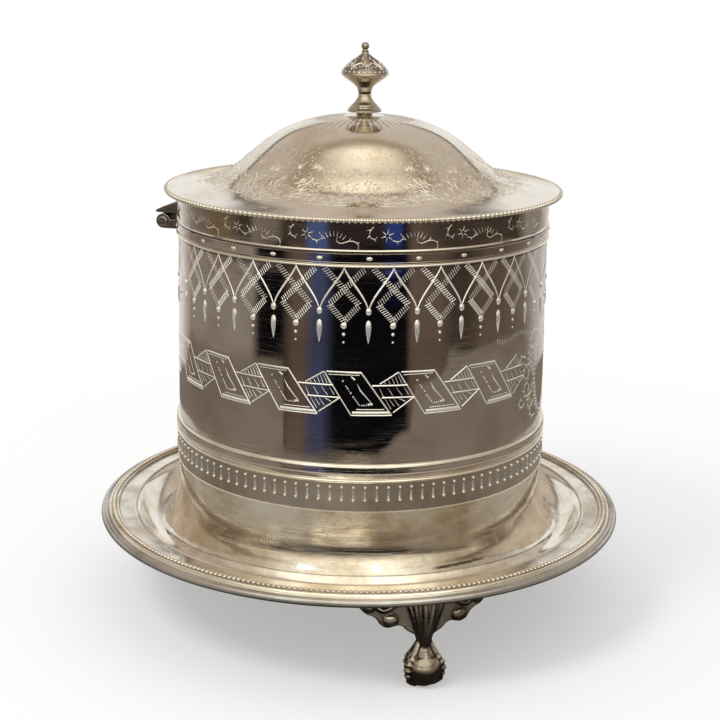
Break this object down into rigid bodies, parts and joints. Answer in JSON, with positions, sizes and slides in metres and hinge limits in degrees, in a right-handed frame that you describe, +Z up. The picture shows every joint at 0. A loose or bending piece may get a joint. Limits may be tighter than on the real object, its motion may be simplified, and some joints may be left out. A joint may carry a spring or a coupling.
{
  "type": "biscuit box",
  "caption": "Round silver-plated biscuit box: a barrel with a hinged domed lid and finial, fixed in a dished stand on cast claw-and-ball feet.",
  "frame": {"origin": "on the barrel's axis, on the surface that the feet rest on", "axes": "+Z up along the barrel's axis, -X towards the hinge, Y along the hinge pin"},
  "size_m": [0.2188, 0.2194, 0.2319],
  "materials": {
    "bright_silver": "silver plate over a copper alloy, bright, warm and lightly tarnished, with fine scratches",
    "mirror_silver": "silver plate over a copper alloy, mirror polished, greyed by tarnish, engraved",
    "cast_silver": "cast copper alloy, silver plated, dark tarnish in the chasing and worn bright on the high places",
    "inside_silver": "silver plate over a copper alloy, satin and unpolished inside"
  },
  "bodies": {
    "base": {"stand_dish": "bright_silver", "stand_rim_wire": "cast_silver", "stand_bead_wire": "bright_silver", "base_cove": "bright_silver", "body_wall": "mirror_silver", "body_floor": "inside_silver", "bezel_ring": "inside_silver", "border_strip": "mirror_silver", "base_wire": "bright_silver", "base_moulding": "bright_silver", "shoulder_wire": "bright_silver", "rim_band": "mirror_silver", "hinge_body_leaf": "cast_silver", "hinge_pin": "cast_silver", "foot_1": "cast_silver", "foot_2": "cast_silver", "foot_3": "cast_silver"},
    "lid": {"lid_dome": "bright_silver", "lid_collar": "bright_silver", "lid_bead_wire": "bright_silver", "finial": "cast_silver", "finial_stud": "cast_silver", "finial_washer": "cast_silver", "finial_nut": "cast_silver", "hinge_lid_leaf": "cast_silver"}
  },
  "joints": [
    {"name": "lid_hinge", "type": "hinge", "parent": "base", "child": "lid", "pos_m": [-0.08305, 0, 0.1572], "axis": [0, -1, 0], "range_deg": [0, 105]}
  ]
}
